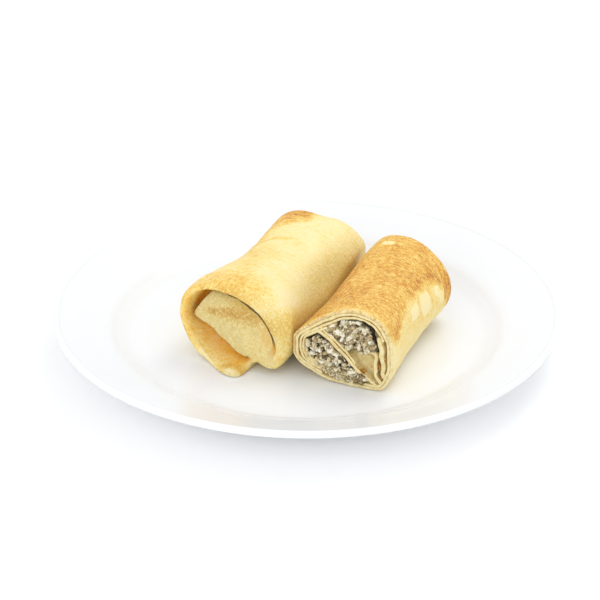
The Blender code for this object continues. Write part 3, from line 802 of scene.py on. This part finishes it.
def strip(path, thickness, toast, seed):
    """A layer of crepe seen end on: a line of (x, z) carried back from the cut, its front edge rounded.

    Each row is the section across the line, out along the front edge and back behind it. A toast of 1
    browns the edge itself.
    """
    along = np.gradient(path, axis=0)
    along /= np.linalg.norm(along, axis=1, keepdims=True)
    side = np.stack([-along[:, 1], along[:, 0]], 1)
    edge = np.array([(0, 0), (0.7, 0.008), (0.93, 0.035), (1, 0.1), (1, 0.5), (1, 1)])
    across, back = np.concatenate([edge[:0:-1] * (-1, 1), edge]).T
    wave = np.stack([path[:, 0], 0 * path[:, 0], path[:, 1]], -1)
    half = 0.5 * thickness * MM * (1 + 0.18 * rough(wave, 2.6 * MM, seed))
    shift = 0.4 * MM * rough(wave, 4 * MM, seed + 3)
    half[[0, -1]] *= 0.4
    x = path[:, :1] + side[:, :1] * half[:, None] * across
    z = path[:, 1:] + side[:, 1:] * half[:, None] * across
    y = shift[:, None] * (1 - back) + back * FACE_DEPTH
    points = np.stack([x, y, np.maximum(z, GAP + 0.2 * MM)], -1)
    # The sides of the front edge are browned, and also get dark lines of painted shade for the gaps
    # between layers.
    browned_shaded_side = smooth_step(np.abs(across), 0.72, 1) * (1 - smooth_step(y, 0.3 * MM, 1.1 * MM))
    toast = toast * (1 - smooth_step(y, 0.6 * MM, 1.6 * MM))
    # Behind its front edge the layer gets painted shade, orange and olive.
    behind = smooth_step(y, 1 * MM, 3 * MM)
    marks = {
        "brown": 0.26 + 0.6 * browned_shaded_side + 0.1 * behind + 0.75 * toast,
        "deep": 0.1 * behind,
        "line": np.maximum(0.4 * browned_shaded_side, 0.45 * toast),
        "dusk": 0.3 * behind,
        "crumb": (1 - 0.8 * browned_shaded_side) * (1 - toast),
        "outwards": x,
        "sweep": z,
    }
    return closed_grid(roll_to_frame(points, CUT_PLACE, CUT_TURN), marks)


def cut_roll(finish):
    """The cut roll's outer layer, then the layers of its wrap and its folds, end on at the cut."""
    serve("crepe_cut_wrap", [cut_wrap()], finish, "crepe_cut", "crepe_cut")
    layers = []
    for number, (depth, start, stop, thickness) in enumerate(WRAPS):
        angles = np.radians(np.linspace(start, stop, 150))
        skin = MM * closed_curve(CUT_FACE, angles % (2 * np.pi))
        path = np.stack(cut_skin(angles, skin, depth * MM), -1)
        layers.append(strip(path, thickness, 0, 40 + number))
    for number, (line, thickness, toast) in enumerate(FOLDS):
        layers.append(strip(open_curve(np.array(line) * MM, 90), thickness, toast, 60 + number))
    serve("crepe_cut_layers", layers, finish, "crepe_cut", "crepe_cut")


def meat_core(outline, calm_to, seed):
    """A pocket of minced meat: its face, heaped into lumps but calm left of calm_to, and its sides."""
    turns = np.linspace(0, 2 * np.pi, 190, endpoint=False)
    boundary = MM * closed_curve(outline, turns)
    middle = boundary.mean(0)
    face_rows, side_rows = 70, 6
    shares = np.concatenate([np.linspace(0.02, 1, face_rows), np.ones(side_rows)])[:, None]
    inwards = np.concatenate([np.zeros(face_rows), np.linspace(0.16, 1, side_rows)])[:, None]
    x, z = np.moveaxis(middle + shares[..., None] * (boundary - middle), -1, 0)
    y = inwards * FACE_DEPTH + 0 * x
    points = np.stack([x, y, z], -1)
    face = (1 - inwards) * smooth_step(1 - shares, -0.02, 0.1)
    coarse = rough(points, 3.4 * MM, seed, 2)
    fine = rough(points, 1.3 * MM, seed + 5, 2)
    calm = 1 - smooth_step(x / MM, calm_to - 3, calm_to + 2)
    y = y + 0.5 * MM - face * MM * (0.4 + 0.5 * calm + (1 - 0.75 * calm) * (1.3 * coarse + 0.8 * fine))
    y = y + MM * 1.4 * smooth_step(shares, 0.86, 1.0) * (inwards == 0)
    points = np.stack([x, np.minimum(y, FACE_DEPTH), z], -1)
    tone = np.clip(0.45 + 0.4 * coarse + 0.35 * fine + 0.25 * rough(points, 0.8 * MM, seed + 9, 1), 0, 1)
    # Painted shade in the crevices between the lumps, less where the face is calm.
    pit = smooth_step(y, -0.4 * MM, 1.2 * MM) * (1 - 0.7 * calm)
    return closed_grid(roll_to_frame(points, CUT_PLACE, CUT_TURN), {"tone": tone, "pit": pit})


def ball():
    """The corners and faces of a small round body with 80 faces."""
    shell = bmesh.new()
    bmesh.ops.create_icosphere(shell, subdivisions=2, radius=1)
    corners = np.array([v.co[:] for v in shell.verts])
    faces = np.array([[v.index for v in f.verts] for f in shell.faces])
    shell.free()
    return corners, faces


def crumbs(outline, count, size, length, tones, seed):
    """Crumbs of meat strewn over a pocket's face: balls turned, squashed, dented and drawn out."""
    draw = np.random.default_rng(seed)
    corners, faces = ball()
    low, high = np.min(outline, 0), np.max(outline, 0)
    spots = draw.uniform(low, high, (count * 6, 2))
    inside = edge_distance(spots[:, 0], spots[:, 1], outline)
    spots = spots[inside > 0.8 * size / MM][:count]
    count = len(spots)
    shape = size * np.exp(draw.normal(0, 0.25, (count, 1, 1))) * draw.uniform(0.7, 1.2, (count, 1, 3))
    shape[:, :, 0] *= draw.uniform(1, length, (count, 1))
    turns, _ = np.linalg.qr(draw.normal(size=(count, 3, 3)) * (1, 0.5, 1))
    body = (corners * shape) @ turns
    dents = lumps(body + draw.uniform(0, 0.1, (count, 1, 3)), size, seed)[..., None]
    body += 0.4 * size * dents * corners
    away = np.stack([spots[:, 0] * MM, draw.uniform(-0.9, 1.3, count) * MM, spots[:, 1] * MM], -1)
    body += away[:, None]
    tone = np.repeat(draw.uniform(*tones, count), len(corners))
    # Painted shade on the parts of each crumb that lie deeper in.
    pit = smooth_step(body[..., 1].ravel(), -0.9 * MM, 0.7 * MM)
    shift = np.arange(count)[:, None, None] * len(corners)
    where = roll_to_frame(body.reshape(-1, 3), CUT_PLACE, CUT_TURN)
    return where, np.zeros((0, 4), int), (faces + shift).reshape(-1, 3), {"tone": tone, "pit": pit}


def fillings(finish):
    """Both pockets: a core, longer strands and small grains, and a finer paste below the lower one."""
    for name, outline, strewn, calm_to, tones, seed in (
        ("filling_lower", LOWER_POCKET, LOWER_POCKET, -60, (0.05, 0.97), 101),
        ("filling_upper", UPPER_POCKET, UPPER_CRUMBS, -14, (0.24, 1), 202),
    ):
        strands = crumbs(strewn, 110, 0.85 * MM, 2.4, tones, seed + 50)
        grains = crumbs(strewn, 240, 0.42 * MM, 1.5, tones, seed + 51)
        parts = [meat_core(outline, calm_to, seed), strands, grains]
        if name == "filling_lower":
            parts.append(crumbs(PASTE, 170, 0.45 * MM, 1.8, (0.5, 0.75), seed + 52))
        serve(f"{name}_meat", parts, finish, "filling", name)


def beside(corner, *steps):
    """Places in a profile, at steps of (outwards, up) in millimetres from a corner."""
    return np.array(corner) + MM * np.array(steps)


def plate(finish):
    """The plate: a turned profile with a flat well, a shallow wall, a wide rim and a foot ring."""
    below = WELL_HEIGHT - PLATE_THICKNESS
    inside = FOOT_RADIUS - FOOT_WIDTH
    half = 0.5 * RIM_THICKNESS
    edge = np.array([PLATE_RADIUS - half, PLATE_HEIGHT - half])
    wall = (
        *beside((WELL_RADIUS, WELL_HEIGHT), (-6, 0), (0, 0), (5, 0.5)),
        *beside((SHOULDER_RADIUS, SHOULDER_HEIGHT), (-4.5, -2.6), (0, 0), (8, 2.7)),
        *beside((edge[0], PLATE_HEIGHT), (-1, -0.6)),
    )
    turn = np.radians(np.linspace(108, -72, 20))
    lip = edge + half * np.stack([np.cos(turn), np.sin(turn)], -1)
    under = (
        *beside((SHOULDER_RADIUS, SHOULDER_HEIGHT), (4, -1.6), (-3, -5.8)),
        *beside((WELL_RADIUS, below), (3, 0.8)),
        *beside((FOOT_RADIUS, below), (2, 0)),
    )
    foot = (
        *beside((FOOT_RADIUS, below), (0.4, -1)),
        *beside((FOOT_RADIUS, 0), (0, 0.6), (-0.15, 0.2), (-0.5, 0)),
        *beside((inside, 0), (0.5, 0), (0.15, 0.2), (0, 0.6)),
        *beside((inside, below), (-1, -0.6), (-2.5, 0)),
        (10 * MM, below),
    )
    well = beside((0, WELL_HEIGHT), (10, 0), (30, 0), (50, 0), (66, 0))
    profile = np.concatenate([well, open_curve(wall, 70), lip, open_curve(under, 24), foot])
    angles = np.linspace(0, 2 * np.pi, 288, endpoint=False)
    radius, height = profile[:, :1], profile[:, 1:]
    points = np.stack([radius * np.cos(angles), radius * np.sin(angles), height + 0 * angles], -1)
    serve("plate_glazed", [closed_grid(points, {})], finish, "plate", "plate")


# Finishes


class Amount:
    """A number that varies over a surface. Sums and products with it are Math nodes of its finish."""

    def __init__(self, finish, socket):
        self.finish = finish
        self.socket = socket

    def math(self, operation, first, second):
        """A Math node on two values, each a number or an amount."""
        return self.finish.node("ShaderNodeMath", {"operation": operation}, {0: first, 1: second})

    def __add__(self, other):
        return self.math("ADD", self, other)

    __radd__ = __add__

    def __sub__(self, other):
        return self.math("SUBTRACT", self, other)

    def __rsub__(self, other):
        return self.math("SUBTRACT", other, self)

    def __mul__(self, other):
        return self.math("MULTIPLY", self, other)

    __rmul__ = __mul__

    def between(self, low, high):
        """0 below low and 1 above high, with a smooth rise."""
        sockets = {"Value": self, "From Min": low, "From Max": high}
        return self.finish.node("ShaderNodeMapRange", {"interpolation_type": "SMOOTHSTEP"}, sockets)


class Finish:
    """A material, built from expressions on what varies over a surface."""

    def __init__(self, name, constants):
        self.material = bpy.data.materials.new(name)
        self.material.use_nodes = True
        self.tree = self.material.node_tree
        self.shader = self.tree.nodes["Principled BSDF"]
        for socket, value in constants.items():
            self.shader.inputs[socket].default_value = value

    def node(self, kind, settings, sockets, output=0):
        """A node with its settings made first, then its sockets' values or links."""
        node = self.tree.nodes.new(kind)
        for setting, value in settings.items():
            if setting == "stops":
                for _ in value[2:]:
                    node.color_ramp.elements.new(0.5)
                for stop, (position, colour) in zip(node.color_ramp.elements, value):
                    stop.position = position
                    stop.color = colour
            else:
                setattr(node, setting, value)
        for socket, value in sockets.items():
            if isinstance(value, Amount):
                self.tree.links.new(value.socket, node.inputs[socket])
            else:
                node.inputs[socket].default_value = value
        return Amount(self, node.outputs[output])

    def set(self, socket, amount):
        """Let one of the shader's sockets follow an amount."""
        self.tree.links.new(amount.socket, self.shader.inputs[socket])

    def mark(self, name):
        """A piece's own mark, as its mesh holds it."""
        return self.node("ShaderNodeAttribute", {"attribute_name": name}, {}, 2)

    def along_roll(self, place, turn):
        """The coordinates across, along and above a roll, from the frame's."""
        where = self.node("ShaderNodeTexCoord", {}, {}, 3)
        sockets = {"Vector": where, "Location": (*place, WELL_HEIGHT)}
        sockets["Rotation"] = (0, 0, -np.radians(turn))
        return self.node("ShaderNodeMapping", {"vector_type": "TEXTURE"}, sockets)

    def noise(self, where, size, detail, roughness=0.55, stretch=(1, 1, 1)):
        """Noise from 0 to 1 with features of a size in metres, longer along an axis by its stretch."""
        scale = tuple(1 / (size * s) for s in stretch)
        scaled = self.node("ShaderNodeMapping", {}, {"Vector": where, "Scale": scale})
        sockets = {"Vector": scaled, "Scale": 1, "Detail": detail, "Roughness": roughness}
        return self.node("ShaderNodeTexNoise", {}, sockets)

    def ramp(self, amount, *colours):
        """Screen colours at equal steps of an amount from 0 to 1."""
        stops = [(step / (len(colours) - 1), tint(*colour)) for step, colour in enumerate(colours)]
        return self.node("ShaderNodeValToRGB", {"stops": stops}, {"Fac": amount})

    def mix(self, amount, first, second):
        """From the first colour to the second."""
        return self.node("ShaderNodeMix", {"data_type": "RGBA"}, {0: amount, 6: first, 7: second}, 2)

    def bump(self, height, distance, strength=1):
        """Tilt the shading as if a height of 1 stood a distance in metres proud."""
        sockets = {"Height": height, "Distance": distance, "Strength": strength}
        self.set("Normal", self.node("ShaderNodeBump", {}, sockets))


def crepe_finish(name, place, turn, seed):
    """A fried crepe: pale yellow, browned where its mark says, with fine streaks that sweep round it.

    Over that go the dough of cut edges, painted shade in folds, painted shade and golden glowing deep in
    them, and dark lines that are partly browned edges and partly painted shade.
    """
    constants = {"Subsurface Weight": 0.08, "Subsurface Scale": 0.001, "Specular IOR Level": 0.3}
    finish = Finish(name, constants)
    where = finish.along_roll(place, turn)
    sweep = {0: finish.mark("outwards"), 1: finish.mark("sweep")}
    swept = finish.node("ShaderNodeCombineXYZ", {}, sweep)
    drift = finish.noise(where, (9 + seed) * MM, 2, stretch=(1.3, 1, 1.3))
    strands = finish.noise(swept, 1.7 * MM, 3, 0.65, (1, 3.2, 1))
    streaks = finish.noise(swept, 0.8 * MM, 2, 0.6, (1, 3.4, 1))
    mottle = finish.noise(where, 2.2 * MM, 3, 0.6)
    specks = finish.noise(where, 0.8 * MM, 2, 0.6)
    brown = finish.mark("brown")
    speckled = (strands - 0.5) * 0.7 + (streaks.between(0.35, 0.65) - 0.5) * 0.3
    speckled = speckled + (mottle - 0.5) * 0.65 + (specks.between(0.35, 0.65) - 0.5) * 0.36
    fried = brown + (drift - 0.5) * 0.4 + speckled * (0.4 + brown * 0.85)
    pale = (252, 234, 180), (248, 226, 152), (242, 206, 112)
    dark = (230, 176, 78), (210, 142, 58), (160, 100, 44)
    skin = finish.ramp(fried * 0.8, *pale, *dark)
    light = (streaks.between(0.58, 0.7) + specks.between(0.6, 0.68)) * brown.between(0.2, 0.5)
    skin = finish.mix(light * 0.36, skin, tint(252, 224, 152))
    crumb = finish.mix(mottle.between(0.3, 0.7), tint(244, 230, 178), tint(228, 207, 146))
    crumb = finish.mix(fried.between(0.3, 1.05), crumb, tint(196, 140, 54))
    # The crumb colour is the dough of cut edges, and on the flap also painted shade.
    colour = finish.mix(finish.mark("crumb"), skin, crumb)
    # Painted shade: an olive darkening in the valley between the rolls, over the flap and in recesses.
    colour = finish.mix(finish.mark("dusk") * (0.6 + (specks - 0.5) * 1.2), colour, tint(190, 168, 94))
    # Painted shade and glowing: a saturated orange deep in hollows, grooves and recesses.
    colour = finish.mix(finish.mark("deep") * (0.85 + (mottle - 0.5) * 0.9), colour, tint(238, 168, 0))
    # Dark lines: painted shade in creases and gaps between layers, over browned edges.
    colour = finish.mix(finish.mark("line") * 0.9, colour, tint(60, 38, 16))
    finish.set("Base Color", colour)
    finish.set("Roughness", 0.52 + (mottle - 0.5) * 0.3 + brown * 0.08)
    finish.bump(strands * 0.4 + streaks * 0.4 + specks * 0.4, 0.3 * MM)
    return finish.material


def meat_finish():
    """Minced meat: greyish brown crumbs and pale fat, with painted shade in the pits between them,
    slightly moist.
    """
    constants = {
        "Subsurface Weight": 0.1,
        "Subsurface Scale": 0.002,
        "Coat Weight": 0.12,
        "Coat Roughness": 0.3,
    }
    finish = Finish("minced_meat", constants)
    where = finish.along_roll(CUT_PLACE, CUT_TURN)
    grain = finish.noise(where, 0.9 * MM, 4, 0.7)
    fibre = finish.noise(where, 0.5 * MM, 3, 0.6, (1, 2, 0.6))
    tone = finish.mark("tone") * 1.1 + (grain - 0.5) * 1.6 + (fibre - 0.5) * 1.2
    colour = finish.ramp(
        tone, (62, 46, 24), (130, 106, 64), (186, 164, 116), (220, 203, 162), (255, 249, 230)
    )
    # Painted shade: near black in the crevices between crumbs.
    colour = finish.mix(finish.mark("pit") * 0.95, colour, tint(24, 17, 8))
    finish.set("Base Color", colour)
    finish.set("Roughness", 0.42 + grain * 0.3)
    finish.bump(grain + fibre * 0.5, 0.3 * MM)
    return finish.material


def glaze_finish():
    """White glazed ware, with a breath of unevenness, and a bare, matt foot ring."""
    finish = Finish("white_glaze", {"Specular IOR Level": 0.32})
    where = finish.node("ShaderNodeTexCoord", {}, {}, 3)
    cloud = finish.noise(where, 45 * MM, 2)
    speck = finish.noise(where, 0.6 * MM, 1).between(0.8, 0.86)
    height = finish.node("ShaderNodeSeparateXYZ", {}, {0: where}, 2)
    bare = 1 - height.between(0.1 * MM, 0.5 * MM)
    glaze = finish.mix(cloud, tint(241, 243, 246), tint(244, 246, 249))
    glaze = finish.mix(speck * 0.05, glaze, tint(190, 186, 178))
    finish.set("Base Color", finish.mix(bare, glaze, tint(226, 220, 208)))
    finish.set("Roughness", 0.14 + cloud * 0.06 + bare * 0.6)
    finish.bump(cloud, 0.2 * MM, 0.4)
    return finish.material


# The studio


def studio():
    """A white floor and room, a soft light above and behind, another in front, and the camera."""
    floor = bpy.data.meshes.new("floor")
    corners = [(-4.0, -4.0, 0), (4.0, -4.0, 0), (4.0, 4.0, 0), (-4.0, 4.0, 0)]
    floor.from_pydata(corners, [], [(0, 1, 2, 3)])
    ground = add_object("floor", floor)
    ground.location.z = -0.05 * MM
    constants = {
        "Base Color": (0.95, 0.95, 0.95, 1),
        "Roughness": 0.8,
        "Emission Color": (1, 1, 1, 1),
        "Emission Strength": 0.08,
    }
    floor.materials.append(Finish("white_paper", constants).material)

    world = bpy.data.worlds.new("white_room")
    world.use_nodes = True
    room = world.node_tree.nodes["Background"]
    room.inputs["Color"].default_value = (0.985, 0.993, 1, 1)
    room.inputs["Strength"].default_value = 0.91
    bpy.context.scene.world = world

    for name, place, size, power, colour in (
        ("key", (0.35, 0.3, 0.9), 0.5, 1.9, (1, 0.995, 0.99)),
        ("front", (-0.35, -0.9, 0.6), 0.8, 2.4, (1, 1, 1)),
    ):
        lamp = bpy.data.lights.new(name, "AREA")
        lamp.size = size
        lamp.energy = power
        lamp.color = colour
        light = add_object(name, lamp)
        light.location = place
        light.rotation_euler = (Vector(place) - Vector((0, 0, 0.02))).to_track_quat("Z", "Y").to_euler()

    lens = bpy.data.cameras.new("camera")
    lens.sensor_fit = "HORIZONTAL"
    lens.sensor_width = 36
    lens.lens = CAMERA_LENS
    camera = add_object("camera", lens)
    rise = np.radians(CAMERA_RISE)
    camera.location = Vector(CAMERA_AIM) + CAMERA_DISTANCE * Vector((0, -np.cos(rise), np.sin(rise)))
    camera.rotation_euler = (0.5 * np.pi - rise, 0, 0)
    bpy.context.scene.camera = camera
    bpy.context.scene.view_settings.view_transform = "Standard"


def main():
    plate(glaze_finish())
    whole_roll(crepe_finish("crepe_pale", WHOLE_PLACE, WHOLE_TURN, 0))
    cut_roll(crepe_finish("crepe_golden", CUT_PLACE, CUT_TURN, 2))
    fillings(meat_finish())
    studio()


main()
